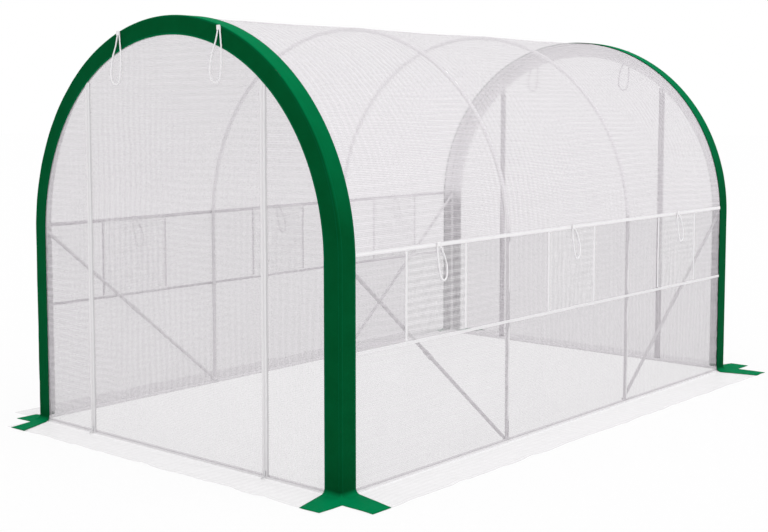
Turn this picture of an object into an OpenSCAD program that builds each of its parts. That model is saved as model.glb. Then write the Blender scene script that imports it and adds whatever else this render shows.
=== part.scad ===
// Polytunnel greenhouse: a reinforced film cover over four tube hoops.
// The origin is the middle of the footprint on the ground, +X to the right, +Z up,
// and the front door faces -Y.

/* [Tunnel] */
// Width over the cover, without the ground skirts
tunnel_w = 2000; // [1600:10:2400]
// Length over the cover, without the ground skirts
tunnel_l = 3300; // [2700:10:4000]
// Height of the straight walls, where the round arch begins
leg_h = 920; // [760:5:1120]

/* [Frame] */
// Outer diameter of the hoop tubes
hoop_d = 19; // [15:0.5:24]
// Length of the front bay, from hoop to hoop
bay_front_l = 1123; // [900:1:1180]
// Length of the back bay, from hoop to hoop
bay_back_l = 1092; // [900:1:1180]
// Outer diameter of the rails along the ground
rail_d = 16; // [12:0.5:20]
// Outer diameter of the diagonal braces
brace_d = 16; // [12:0.5:20]
// Height of the bolt at a brace's foot
brace_foot_z = 15; // [12:1:40]
// How far above the straight wall the bolt at a brace's head is
brace_head_up = 33; // [0:1:34]
// Length of the flattened ends of a brace, from the bolt
brace_flat_l = 34; // [26:1:60]
// Thickness of the flattened ends
brace_flat_t = 3; // [2:0.1:4]
// Length of the sleeve that joins a brace's two tubes
sleeve_l = 60; // [30:1:120]
// Wall of that sleeve
sleeve_t = 2; // [1:0.1:3]
// Gap between a brace and the leg that it is bolted to
brace_gap = 0.9; // [0.8:0.05:0.95]

/* [Cover] */
// Thickness of the cover film, with room for its folds
film_t = 2; // [1:0.1:3]
// Thickness of tapes, trims and zips
tape_t = 1.5; // [1:0.1:2.5]
// Gap between one soft layer and the next
soft_gap = 0.3; // [0.2:0.05:0.6]
// Width of the ground skirts at the two ends
skirt_end_w = 190; // [120:5:240]
// Width of the ground skirts along the two sides
skirt_side_w = 225; // [140:5:280]
// Thickness of the ground skirts
skirt_t = 2; // [1:0.1:3]

/* [Windows] */
// Width of a window
window_w = 405; // [300:5:500]
// Height of a window
window_h = 393; // [300:1:480]
// How far above the straight wall the top of a window is
window_top_up = 33; // [15:1:60]
// Distance from one window to the next, middle to middle
window_pitch = 1050; // [880:10:1060]
// Width of the tapes round the windows
window_tape_w = 22; // [14:1:30]
// Thickness of the insect screens and of the flaps over them
screen_t = 1; // [0.6:0.1:1.5]

/* [Door ends] */
// Distance from the middle of an end wall to each of its zips
zip_x = 575; // [440:5:660]
// Width of a zip with its tapes
zip_w = 34; // [20:1:50]
// Width of the seam in the film behind a zip
zip_seam = 2; // [1:0.5:6]

/* [Trim] */
// Width of the trim on an end wall
trim_face_w = 90; // [60:1:110]
// Width of the trim along the roof and side walls
trim_side_w = 85; // [60:1:110]
// Radius of the bend at the foot of the trim
foot_r = 25; // [15:1:50]
// Reach of the trim's end tails in front of the end wall
tail_end_l = 193; // [150:1:230]
// Width of the end tails at their free edge
tail_end_w = 105; // [80:1:130]
// Width of the side tails at their free edge
tail_side_w = 108; // [80:1:150]
// Reach of the right side tails beyond the side wall
tail_right_l = 225; // [170:1:280]
// Reach of the left side tails beyond the side wall
tail_left_l = 95; // [75:1:280]
// How far the right end tails lean outwards
tail_right_lean = 62; // [-50:1:70]
// How far the left end tails lean outwards
tail_left_lean = -44; // [-50:1:70]

/* [Ties] */
// Thickness of the tie cords
tie_d = 7; // [5:0.5:9]
// Distance from the middle of an end wall to each of its ties
tie_x = 330; // [200:10:420]

/* [Hidden] */
$fn = 192;

arch_r = tunnel_w / 2;              // outer radius of the cover's arch
half_l = tunnel_l / 2;              // outer face of an end wall
film_in_r = arch_r - film_t;        // inner face of the cover
wall_r = film_in_r - soft_gap;      // edge of an end wall inside the cover
hoop_r = film_in_r - soft_gap - hoop_d / 2;            // middle of a hoop tube
hoop_end_y = half_l - film_t - soft_gap - hoop_d / 2;  // middle of an end hoop
// The hoops' places from front to back
hoop_ys = [-hoop_end_y, bay_front_l - hoop_end_y, hoop_end_y - bay_back_l, hoop_end_y];
rail_z = rail_d / 2;
brace_x = hoop_r - hoop_d / 2 - brace_gap - brace_flat_t / 2;
brace_flat_w = 0.7 * hoop_d;        // the flattened ends are narrower than the leg
brace_head_z = leg_h + brace_head_up;

tape_in_r = arch_r + soft_gap;      // inner face of the tapes outside the cover
tape_out_r = tape_in_r + tape_t;
tape_in_y = half_l + soft_gap;
tape_out_y = tape_in_y + tape_t;
trim_in_r = tape_out_r - trim_face_w;                  // inner edge of the face trim
trim_side_y = half_l - trim_side_w;                    // edge of the side trim
foot_z = skirt_t + soft_gap;        // the trim's foot lies on the skirt
tail_split = 38;                    // from the foot's bend out to where the tails part
tail_spread = 45;                   // how far a side tail spreads forwards of the bend

window_top = leg_h + window_top_up;
window_low = window_top - window_h;
window_a = asin(window_top_up / arch_r);               // angle of a window's top edge
tape_low_a = asin((window_top_up - window_tape_w / 2) / arch_r);
tape_high_a = asin((window_top_up + window_tape_w / 2) / arch_r);
window_ys = [-window_pitch, 0, window_pitch];

tie_end_z = leg_h + sqrt(pow(arch_r, 2) - pow(tie_x, 2)) - 2;
tie_out = tie_d / 2 + 0.7;          // middle of a tie in front of the tape it hangs on

// A door tie's loop, sideways and down from where it is sewn on
tie_long = [[-4.5, 0], [-9, -21], [-15, -42], [-22, -63], [-31, -83], [-41, -103], [-49, -124],
    [-54, -146], [-57, -168], [-58, -190], [-55, -210], [-44, -226], [-27, -233], [-10, -229],
    [1, -215], [6, -195], [9, -173], [11, -151], [12, -129], [12, -107], [12, -85], [10, -63],
    [8, -42], [6, -21], [4.5, 0]];
// A window tie's loop
tie_short = [[-4.5, 0], [-5, -20], [-4, -40], [-2, -60], [2, -80], [6, -100], [11, -120],
    [17, -140], [27, -157], [43, -163], [57, -153], [62, -135], [62, -115], [59, -95],
    [51, -76], [42, -57], [31, -38], [18, -20], [4.5, 0]];

// A block between two corners
module block(a, b) {
    translate(a) cube(b - a);
}

// The same shape on both sides of the tunnel
module both_sides() {
    children();
    mirror([1, 0, 0]) children();
}

// A profile of radius and depth, swept round the arch from angle a to angle b
module round_arch(a, b) {
    translate([0, 0, leg_h])
        rotate([90, 0, 0])
            rotate([0, 0, a])
                rotate_extrude(angle = b - a)
                    children();
}

// A sheet of the arch between two radii, two depths and two angles
module arch_sheet(r_in, r_out, y_front, y_back, a, b) {
    round_arch(a, b)
        translate([r_in, -y_back])
            square([r_out - r_in, y_back - y_front]);
}

// A solid arch of radius r, from the ground up
module arch_slab(r, y_front, y_back) {
    block([-r, y_front, 0], [r, y_back, leg_h]);
    intersection() {
        translate([0, y_back, leg_h]) rotate([90, 0, 0]) cylinder(r = r, h = y_back - y_front);
        block([-r - 1, y_front - 1, leg_h], [r + 1, y_back + 1, leg_h + r + 1]);
    }
}

// A hoop: two legs and a half circle of one tube
module hoop(y) {
    color("gainsboro") {
        round_arch(0, 180) translate([hoop_r, -y]) circle(d = hoop_d, $fn = 48);
        for (x = [-hoop_r, hoop_r])
            translate([x, y, 0]) cylinder(d = hoop_d, h = leg_h);
    }
}

// A rail along the ground between two legs of an end hoop
module end_rail(y) {
    l = 2 * (hoop_r - hoop_d / 2 - soft_gap);
    color("gainsboro")
        translate([-l / 2, y, rail_z]) rotate([0, 90, 0]) cylinder(d = rail_d, h = l);
}

// The rails along the ground of one side, one in each bay
module side_rail(x) {
    gap = hoop_d / 2 + soft_gap;
    color("gainsboro")
        for (i = [0:2])
            translate([x, hoop_ys[i] + gap, rail_z])
                rotate([-90, 0, 0])
                    cylinder(d = rail_d, h = hoop_ys[i + 1] - hoop_ys[i] - 2 * gap);
}

// A diagonal brace of the front right bay, run long, from the inner hoop's foot up to the
// end hoop: a tube with a sleeve in its middle and flattened ends
module brace(run) {
    rise = brace_head_z - brace_foot_z;
    l = sqrt(run * run + rise * rise);
    w = brace_flat_w / 2;
    color("gainsboro")
        translate([brace_x, run - hoop_end_y, brace_foot_z])
            rotate([90 - atan(rise / run), 0, 0]) {
                translate([0, 0, brace_flat_l - w])
                    cylinder(d = brace_d, h = l - 2 * (brace_flat_l - w));
                translate([0, 0, (l - sleeve_l) / 2])
                    cylinder(d = brace_d + 2 * sleeve_t, h = sleeve_l);
                for (z = [-w / 2, l - brace_flat_l])
                    block([-brace_flat_t / 2, -w, z],
                          [brace_flat_t / 2, w, z + brace_flat_l + w / 2]);
            }
}

// The arched roof, down to the top of the windows
module roof_sheet() {
    color("whitesmoke")
        arch_sheet(film_in_r, arch_r, -half_l, half_l, window_a, 180 - window_a);
}

// The right side wall below the windows
module lower_wall() {
    color("whitesmoke")
        block([film_in_r, -half_l, 0], [arch_r, half_l, window_low]);
}

// A piece of the right side wall at window height
module band_piece(y_front, y_back) {
    block([film_in_r, y_front, window_low], [arch_r, y_back, leg_h]);
    arch_sheet(film_in_r, arch_r, y_front, y_back, 0, window_a);
}

// The right side wall between and beside the windows
module window_band() {
    edges = [-half_l, for (y = window_ys) each [y - window_w / 2, y + window_w / 2], half_l];
    color("whitesmoke")
        for (i = [0:3])
            band_piece(edges[2 * i], edges[2 * i + 1]);
}

// The insect screens in the right windows
module window_screens() {
    r = film_in_r + (film_t - screen_t) / 2;
    half_w = window_w / 2 - soft_gap;
    top = asin((window_top_up - soft_gap) / arch_r);
    color("white")
        for (y = window_ys) {
            block([r, y - half_w, window_low + soft_gap], [r + screen_t, y + half_w, leg_h]);
            arch_sheet(r, r + screen_t, y - half_w, y + half_w, 0, top);
        }
}

// The flaps that are rolled down over the right windows
module window_flaps() {
    half_w = (window_w - window_tape_w) / 2 - soft_gap;
    low = window_low + window_tape_w / 2 + soft_gap;
    top = asin((window_top_up - window_tape_w / 2 - soft_gap) / arch_r);
    color("snow")
        for (y = window_ys) {
            block([tape_in_r, y - half_w, low], [tape_in_r + screen_t, y + half_w, leg_h]);
            arch_sheet(tape_in_r, tape_in_r + screen_t, y - half_w, y + half_w, 0, top);
        }
}

// The tapes along the right side, above, below and beside the windows
module window_tape() {
    end_y = trim_side_y - soft_gap;
    low = window_low + window_tape_w / 2;
    top = asin((window_top_up - window_tape_w / 2 - soft_gap) / arch_r);
    color("white") {
        arch_sheet(tape_in_r, tape_out_r, -end_y, end_y, tape_low_a, tape_high_a);
        block([tape_in_r, -end_y, low - window_tape_w], [tape_out_r, end_y, low]);
        for (y = window_ys, side = [-1, 1]) {
            edge = y + side * window_w / 2 - window_tape_w / 2;
            block([tape_in_r, edge, low + soft_gap], [tape_out_r, edge + window_tape_w, leg_h]);
            arch_sheet(tape_in_r, tape_out_r, edge, edge + window_tape_w, 0, top);
        }
    }
}

// The door in the middle of the front wall, zipped at both sides
module door() {
    x = zip_x - zip_seam / 2;
    color("ghostwhite")
        intersection() {
            arch_slab(wall_r, -half_l, -half_l + film_t);
            block([-x, -half_l - 1, -1], [x, -half_l + film_t + 1, leg_h + arch_r]);
        }
}

// The fixed film of the front wall beside the door
module side_panels() {
    x = zip_x + zip_seam / 2;
    color("whitesmoke")
        difference() {
            arch_slab(wall_r, -half_l, -half_l + film_t);
            block([-x, -half_l - 1, -1], [x, -half_l + film_t + 1, leg_h + arch_r]);
        }
}

// The two zips of the front door, from the skirt up to the trim
module zips() {
    color("white")
        both_sides()
            intersection() {
                block([zip_x - zip_w / 2, -tape_out_y, foot_z],
                      [zip_x + zip_w / 2, -tape_in_y, leg_h + arch_r]);
                arch_slab(trim_in_r - soft_gap, -tape_out_y - 1, -tape_in_y + 1);
            }
}

// The trim's section: a band on the end wall and a band along the cover
module trim_section() {
    polygon([[trim_in_r, tape_out_y], [tape_out_r, tape_out_y], [tape_out_r, trim_side_y],
        [tape_in_r, trim_side_y], [tape_in_r, tape_in_y], [trim_in_r, tape_in_y]]);
}

// Half of the space round the front right corner, split along its mitre
module mitre_side(side) {
    translate([tape_in_r, -tape_in_y, 0])
        rotate([0, 0, -45])
            block([-400, side < 0 ? -900 : 0, -1], [900, side < 0 ? 0 : 900, foot_r + 60]);
}

// A quarter bend from a wall down to the ground, l long
module foot_bend(l) {
    rotate([90, 0, 90])
        linear_extrude(l)
            intersection() {
                difference() {
                    circle(r = foot_r);
                    circle(r = foot_r - tape_t);
                }
                translate([0, -foot_r]) square(foot_r);
            }
}

// The foot of the front right trim: it bends outwards and ends in two tails, the side tail
// of length side_l and the end tail leaning outwards by lean
module trim_foot(side_l, lean) {
    corner_x = tape_in_r + foot_r;
    corner_y = tape_in_y + foot_r;
    end_x = tape_out_r + lean;
    side_x = arch_r + side_l;
    intersection() {
        translate([trim_in_r, -corner_y, foot_z + foot_r]) foot_bend(corner_x - trim_in_r);
        mitre_side(-1);
    }
    intersection() {
        translate([corner_x, -corner_y, foot_z + foot_r])
            rotate([0, 0, 90])
                foot_bend(corner_y - trim_side_y);
        mitre_side(1);
    }
    translate([0, 0, foot_z])
        linear_extrude(tape_t)
            polygon([[corner_x, -corner_y], [trim_in_r, -corner_y],
                [end_x - tail_end_w, -half_l - tail_end_l], [end_x, -half_l - tail_end_l],
                [corner_x + sign(lean) * tail_split, -corner_y - tail_split],
                [side_x, -corner_y - tail_spread],
                [side_x, -corner_y - tail_spread + tail_side_w], [corner_x, -trim_side_y]]);
}

// The front trim, over the arch from foot to foot
module trim() {
    color("seagreen") {
        round_arch(0, 180) trim_section();
        both_sides()
            translate([0, 0, foot_z + foot_r])
                linear_extrude(leg_h - foot_z - foot_r)
                    mirror([0, 1, 0]) trim_section();
        trim_foot(tail_right_l, tail_right_lean);
        mirror([1, 0, 0]) trim_foot(tail_left_l, tail_left_lean);
    }
}

// The film that lies on the ground in front of the front wall
module skirt_end() {
    color("ghostwhite")
        block([-arch_r, -half_l - skirt_end_w, 0], [arch_r, -half_l - soft_gap, skirt_t]);
}

// The film that lies on the ground beside the right wall
module skirt_side() {
    color("ghostwhite")
        block([arch_r + soft_gap, -half_l, 0], [arch_r + skirt_side_w, half_l, skirt_t]);
}

// The direction of a flat route at its point i
function along(r, i) =
    let (d = r[min(i + 1, len(r) - 1)] - r[max(i - 1, 0)]) d / norm(d);

// A tube of eight sides that follows a flat route in the XZ plane
module cord_tube(route, d) {
    n = len(route);
    points = [for (i = [0:n - 1], k = [0:7])
        let (t = along(route, i), s = d / 2 * cos(45 * k))
            [route[i][0] - t[1] * s, d / 2 * sin(45 * k), route[i][1] + t[0] * s]];
    walls = [for (i = [0:n - 2], k = [0:7])
        let (a = 8 * i + k, b = 8 * i + (k + 1) % 8) [a, b, b + 8, a + 8]];
    polyhedron(points = points, convexity = 4, faces = concat(walls,
        [[for (k = [7:-1:0]) k]], [[for (k = [0:7]) 8 * (n - 1) + k]]));
}

// A tie on the front wall, its loop hanging down over the trim
module end_tie(x) {
    color("white")
        translate([x, -tape_out_y - tie_out, tie_end_z]) cord_tube(tie_long, tie_d);
}

// A tie over a window of the right side
module window_tie(i) {
    color("white")
        translate([tape_out_r + tie_out, window_ys[i], window_top + window_tape_w / 2 - 3])
            rotate([0, 0, 90]) cord_tube(tie_short, tie_d);
}

hoop(hoop_ys[0]);  // front_hoop
hoop(hoop_ys[1]);  // middle_hoop_front
hoop(hoop_ys[2]);  // middle_hoop_back
hoop(hoop_ys[3]);  // back_hoop
end_rail(hoop_ys[0]);  // base_rail_front
end_rail(hoop_ys[3]);  // base_rail_back
side_rail(-hoop_r);  // base_rail_left
side_rail(hoop_r);  // base_rail_right
mirror([1, 0, 0]) brace(bay_front_l);  // brace_front_left
brace(bay_front_l);  // brace_front_right
rotate([0, 0, 180]) brace(bay_back_l);  // brace_back_left
mirror([0, 1, 0]) brace(bay_back_l);  // brace_back_right
roof_sheet();
mirror([1, 0, 0]) lower_wall();  // lower_wall_left
lower_wall();  // lower_wall_right
mirror([1, 0, 0]) window_band();  // window_band_left
window_band();  // window_band_right
mirror([1, 0, 0]) window_screens();  // window_screens_left
window_screens();  // window_screens_right
mirror([1, 0, 0]) window_flaps();  // window_flaps_left
window_flaps();  // window_flaps_right
mirror([1, 0, 0]) window_tape();  // window_tape_left
window_tape();  // window_tape_right
door();  // front_door
mirror([0, 1, 0]) door();  // back_door
side_panels();  // front_side_panels
mirror([0, 1, 0]) side_panels();  // back_side_panels
zips();  // front_zips
mirror([0, 1, 0]) zips();  // back_zips
trim();  // front_trim
mirror([0, 1, 0]) trim();  // back_trim
skirt_end();  // skirt_front
mirror([0, 1, 0]) skirt_end();  // skirt_back
mirror([1, 0, 0]) skirt_side();  // skirt_left
skirt_side();  // skirt_right
end_tie(-tie_x);  // tie_front_left
end_tie(tie_x);  // tie_front_right
mirror([0, 1, 0]) end_tie(-tie_x);  // tie_back_left
mirror([0, 1, 0]) end_tie(tie_x);  // tie_back_right
mirror([1, 0, 0]) window_tie(0);  // tie_left_1
mirror([1, 0, 0]) window_tie(1);  // tie_left_2
mirror([1, 0, 0]) window_tie(2);  // tie_left_3
window_tie(0);  // tie_right_1
window_tie(1);  // tie_right_2
window_tie(2);  // tie_right_3
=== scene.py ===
import math

import bmesh
import bpy
import numpy as np
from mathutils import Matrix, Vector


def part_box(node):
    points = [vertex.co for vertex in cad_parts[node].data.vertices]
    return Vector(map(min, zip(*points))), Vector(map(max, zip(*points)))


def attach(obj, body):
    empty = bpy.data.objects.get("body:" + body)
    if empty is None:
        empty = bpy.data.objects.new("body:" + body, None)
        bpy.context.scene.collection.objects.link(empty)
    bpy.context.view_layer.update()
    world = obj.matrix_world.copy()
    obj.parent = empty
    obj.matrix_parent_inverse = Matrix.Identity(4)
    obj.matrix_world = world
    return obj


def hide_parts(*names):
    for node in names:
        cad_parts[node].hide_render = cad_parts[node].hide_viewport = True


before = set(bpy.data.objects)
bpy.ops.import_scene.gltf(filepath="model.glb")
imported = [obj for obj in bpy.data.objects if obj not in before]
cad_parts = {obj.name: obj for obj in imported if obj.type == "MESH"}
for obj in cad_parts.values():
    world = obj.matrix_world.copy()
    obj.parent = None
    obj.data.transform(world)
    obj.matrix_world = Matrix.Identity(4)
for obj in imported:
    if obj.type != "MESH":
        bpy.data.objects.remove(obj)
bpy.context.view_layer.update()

# ---------------------------------------------------------------- sizes, from the CAD nodes or chosen to fit them

R = round(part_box("roof_sheet")[1][0] + 0.0006, 3)     # outer radius of the arch
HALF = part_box("roof_sheet")[1][1]            # outer face of the back wall
LEG = round(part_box("roof_sheet")[1][2] - R, 4)        # where the arch begins
WIN_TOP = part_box("window_band_right")[1][2]
WIN_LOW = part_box("window_band_right")[0][2]
WIN_W, PITCH = 0.405, 1.05                   # a window's width, and the step to the next one
WIN_Y = (-PITCH, 0.0, PITCH)
TRIM_IN, TRIM_OUT = 0.9118, 1.0018           # inner and outer edge of the trim's face
TRIM_Y = HALF + 0.0018                       # its outer face
TRIM_THICK = 0.0015
SIDE_Y = HALF - 0.085                        # far edge of its side band
FOOT_R, FOOT_Z = 0.025, 0.0023               # its bend at the foot, and the height of its tails
TAIL_SPLIT = 0.038                           # where the two tails part, from the corner
TAIL_W = 0.108                               # width of the tail that lies to the side
NARROW = 0.012                               # how much narrower the face is at the left foot
WALL_FOOT = 0.012                            # height at which a wall becomes its skirt
BEND = 0.010                                 # radius of the bend from a wall to the ground
CREASE_Z = 0.0075                            # height of the binding along that bend
TAPE_OUT = 0.0002                            # from the CAD's outer face to a window tape's back
WALL_R = 0.9977                              # radius of an end wall's arched top
PANEL_X = (0.576, 0.9974)                    # a side panel of an end wall, from and to
ZIP_X = 0.575                                # from the middle to a zip
ZIP_TAPE_X, SHADOW_STRIP_X = 0.0087, 0.0186       # from a zip to the middles of its tapes and of the dark strip beside it, a painted shadow
STRIP_MID = 0.0445                           # from a seam to the middle of a lining's strip
HOOP_NODES = ["front_hoop", "middle_hoop_front", "middle_hoop_back", "back_hoop"]
HOOPS = (-1.6382, -0.5152, 0.5462, 1.6382)   # their planes
TAPE_W = 0.022                               # a window tape in CAD
FILM_IN = 0.0012                             # how far film lies inside the CAD's outer face
GAP = 0.0006                                 # between layers that lie side by side
CUT = 0.0005                                 # how much a strip is cut short at each end
SIZE = 0.015        # the film's mesh
SIDES = ((-1, "left"), (1, "right"))
ENDS = ((-1, "front"), (1, "back"))


# ---------------------------------------------------------------- the camera

camera = bpy.data.cameras.new("camera")
eye = bpy.data.objects.new("camera", camera)
bpy.context.scene.collection.objects.link(eye)
camera.sensor_width = 36.0
camera.lens = 60.87
camera.shift_y = -0.065
camera.clip_start, camera.clip_end = 0.1, 100.0
eye.location = (4.357, -5.315, 1.531)        # ahead of the front end and to the right of it
eye.rotation_euler = (math.radians(90 - 4.83), 0.0, math.radians(40.56))
bpy.context.scene.camera = eye


# ---------------------------------------------------------------- node helpers

ONCE = 10.0                                  # a pitch so long that its line is drawn once
OFF, ON = (0, 0, 0), (1, 1, 1)               # the ends of a ramp that chooses a place


class Nodes:
    """A short way to write the nodes of a material or a world."""

    def __init__(self, name, world=False):
        self.owner = (bpy.data.worlds if world else bpy.data.materials).new(name)
        self.owner.use_nodes = True
        self.tree = self.owner.node_tree
        self.tree.nodes.clear()
        self.out = self.new("ShaderNodeOutputWorld" if world else "ShaderNodeOutputMaterial")

    def new(self, kind, **values):
        n = self.tree.nodes.new(kind)
        for k, v in values.items():
            setattr(n, k, v)
        return n

    def put(self, value, socket):
        """Links a socket or sets a number; None leaves the input as it is."""
        if isinstance(value, bpy.types.NodeSocket):
            self.tree.links.new(value, socket)
        elif value is not None:
            socket.default_value = value

    def math(self, op, a, b=None, clamp=False):
        n = self.new("ShaderNodeMath", operation=op, use_clamp=clamp)
        for value, socket in zip((a, b), n.inputs):
            self.put(value, socket)
        return n.outputs[0]

    def times(self, a, b, clamp=False):
        return self.math("MULTIPLY", a, b, clamp)

    def plus(self, a, b, clamp=False):
        return self.math("ADD", a, b, clamp)

    def minus(self, a, b, clamp=False):
        return self.math("SUBTRACT", a, b, clamp)

    def coords(self, name="UV"):
        return self.new("ShaderNodeTexCoord").outputs[name]

    def split(self, vector):
        n = self.new("ShaderNodeSeparateXYZ")
        self.put(vector, n.inputs[0])
        return n.outputs

    def join(self, x, y, z=0.0):
        n = self.new("ShaderNodeCombineXYZ")
        for value, socket in zip((x, y, z), n.inputs):
            self.put(value, socket)
        return n.outputs[0]

    def stretched(self, u, v, by_u, by_v):
        return self.join(self.times(u, by_u), self.times(v, by_v))

    def noise(self, vector, scale, detail=2.0, rough=0.5):
        n = self.new("ShaderNodeTexNoise")
        self.put(vector, n.inputs["Vector"])
        n.inputs["Scale"].default_value = scale
        n.inputs["Detail"].default_value = detail
        n.inputs["Roughness"].default_value = rough
        return n.outputs["Fac"]

    def ramp(self, fac, *stops):
        n = self.new("ShaderNodeValToRGB")
        e = n.color_ramp.elements
        while len(e) < len(stops):
            e.new(0.5)
        for i, (at, colour) in enumerate(stops):
            e[i].position = at
            e[i].color = (*colour, 1.0)
        self.put(fac, n.inputs[0])
        return n.outputs[0]

    def mix(self, fac, a, b):
        n = self.new("ShaderNodeMix", data_type="RGBA")
        self.put(fac, n.inputs[0])
        self.put(a if isinstance(a, bpy.types.NodeSocket) else (*a, 1.0), n.inputs[6])
        self.put(b if isinstance(b, bpy.types.NodeSocket) else (*b, 1.0), n.inputs[7])
        return n.outputs[2]

    def bump(self, height, strength, distance, normal=None):
        n = self.new("ShaderNodeBump")
        n.inputs["Strength"].default_value = strength
        n.inputs["Distance"].default_value = distance
        self.put(height, n.inputs["Height"])
        self.put(normal, n.inputs["Normal"])
        return n.outputs[0]

    def line(self, x, pitch, width, phase=0.0):
        """1 on thin lines that repeat every pitch, 0 between, with soft edges."""
        t = self.math("FRACT", self.plus(self.math("DIVIDE", x, pitch), phase + 0.5))
        away = self.times(self.math("ABSOLUTE", self.minus(t, 0.5)), pitch)
        fade = self.math("DIVIDE", self.minus(away, width * 0.3), width * 0.4, clamp=True)
        return self.minus(1.0, fade, clamp=True)

    def shader(self, colour, rough, normal=None, alpha=None, **numbers):
        n = self.new("ShaderNodeBsdfPrincipled")
        self.put(colour if isinstance(colour, bpy.types.NodeSocket) else (*colour, 1.0),
                 n.inputs["Base Color"])
        self.put(rough, n.inputs["Roughness"])
        self.put(normal, n.inputs["Normal"])
        self.put(alpha, n.inputs["Alpha"])
        for k, v in numbers.items():
            n.inputs[k.replace("_", " ")].default_value = v
        return n.outputs[0]

    def glow(self, kind, colour, strength):
        n = self.new(kind)
        n.inputs["Color"].default_value = (*colour, 1.0)
        n.inputs["Strength"].default_value = strength
        return n.outputs[0]

    def blend(self, fac, a, b):
        n = self.new("ShaderNodeMixShader")
        for value, socket in zip((fac, a, b), n.inputs):
            self.put(value, socket)
        return n.outputs[0]

    def finish(self, shader):
        """Ends the tree in this shader and returns its material or world."""
        self.put(shader, self.out.inputs["Surface"])
        return self.owner

    def principled(self, *inputs, **numbers):
        return self.finish(self.shader(*inputs, **numbers))


# ---------------------------------------------------------------- materials

def film_material(name, body, thread, tint, pitch=0.0072, width=0.0019, beat=0.05, hem=False,
                  painted_wrinkle_shade=0.0, pale=1.7):
    """Film with a grid of white threads cast in it, pitch apart; body and thread are their
    cover, beat how much they crowd in rows, and the threads are pale times as light."""
    m = Nodes(name)
    u, v, _ = m.split(m.coords())
    plane = m.join(u, v)
    drift = m.times(m.minus(m.noise(plane, 1.7, 3.0), 0.5), 0.010)
    u2, v2 = m.plus(u, drift), m.minus(v, drift)
    grid = m.math("MAXIMUM", m.line(u2, pitch, width), m.line(v2, pitch, width))
    # every thread is a little thicker or thinner than the next one
    uneven = m.noise(m.stretched(u, v, 0.6, 60.0), 1.0, 2.0)
    uneven2 = m.noise(m.stretched(u, v, 60.0, 0.6), 1.0, 2.0)
    varied = m.times(grid, m.plus(0.45, m.plus(uneven, uneven2)))
    # the threads crowd together in rows, lengthways in some places and upright in others
    bend = m.times(m.noise(plane, 1.3, 2.0), 15.0)
    rows = m.math("SINE", m.plus(m.times(v, 205.0), bend))
    cols = m.math("SINE", m.plus(m.times(u, 165.0), bend))
    where = m.ramp(m.noise(plane, 0.8, 1.0), (0.42, OFF), (0.58, ON))
    crowd = m.plus(m.times(rows, where), m.times(cols, m.minus(1.0, where)))
    crowd = m.times(crowd, m.plus(0.3, m.noise(plane, 2.3, 2.0)))
    cloud = m.times(m.minus(m.noise(plane, 3.0, 4.0, 0.6), 0.5), 0.10)
    cloud = m.plus(cloud, m.times(crowd, beat))
    cover = m.plus(body, m.times(varied, thread - body))
    if hem:
        fold = m.math("LESS_THAN", v, 0.018)
        seam = m.times(m.line(v, ONCE, 0.0022, -0.00155), m.line(u, 0.006, 0.0052))
        cover = m.plus(cover, m.times(fold, 0.10))
        cover = m.plus(cover, m.times(seam, 0.12))
    # painted shade: the flaps' folds are drawn as bands of denser and thinner film, denser still along their
    # ridges
    if painted_wrinkle_shade:
        sway = m.times(m.noise(plane, 7.0, 2.0), 0.14)
        fold = m.noise(m.stretched(m.plus(u, sway), v, 44.0, 11.0), 1.0, 3.0, 0.6)
        away = m.math("ABSOLUTE", m.minus(fold, 0.5))
        painted_ridge_shade = m.minus(1.0, m.times(away, 9.0), clamp=True)
        cover = m.plus(cover, m.times(m.minus(fold, 0.5), painted_wrinkle_shade))
        cover = m.plus(cover, m.times(painted_ridge_shade, painted_wrinkle_shade * 0.35))
    alpha = m.plus(cover, cloud, clamp=True)
    crease = m.noise(m.stretched(u, v, 1.0, 2.2), 22.0, 5.0, 0.62)
    small = m.bump(grid, 0.55, 0.0006)
    normal = m.bump(crease, 0.35, 0.003, small)
    rough = m.plus(0.30, m.times(m.noise(plane, 30.0, 2.0), 0.22))
    light = tuple(min(1.0, c * pale) for c in tint)
    threads = m.plus(m.times(grid, 0.8), m.times(crowd, 0.35), clamp=True)
    white = m.mix(threads, tint, light)
    return m.principled(white, rough, normal, alpha, IOR=1.45)


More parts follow.
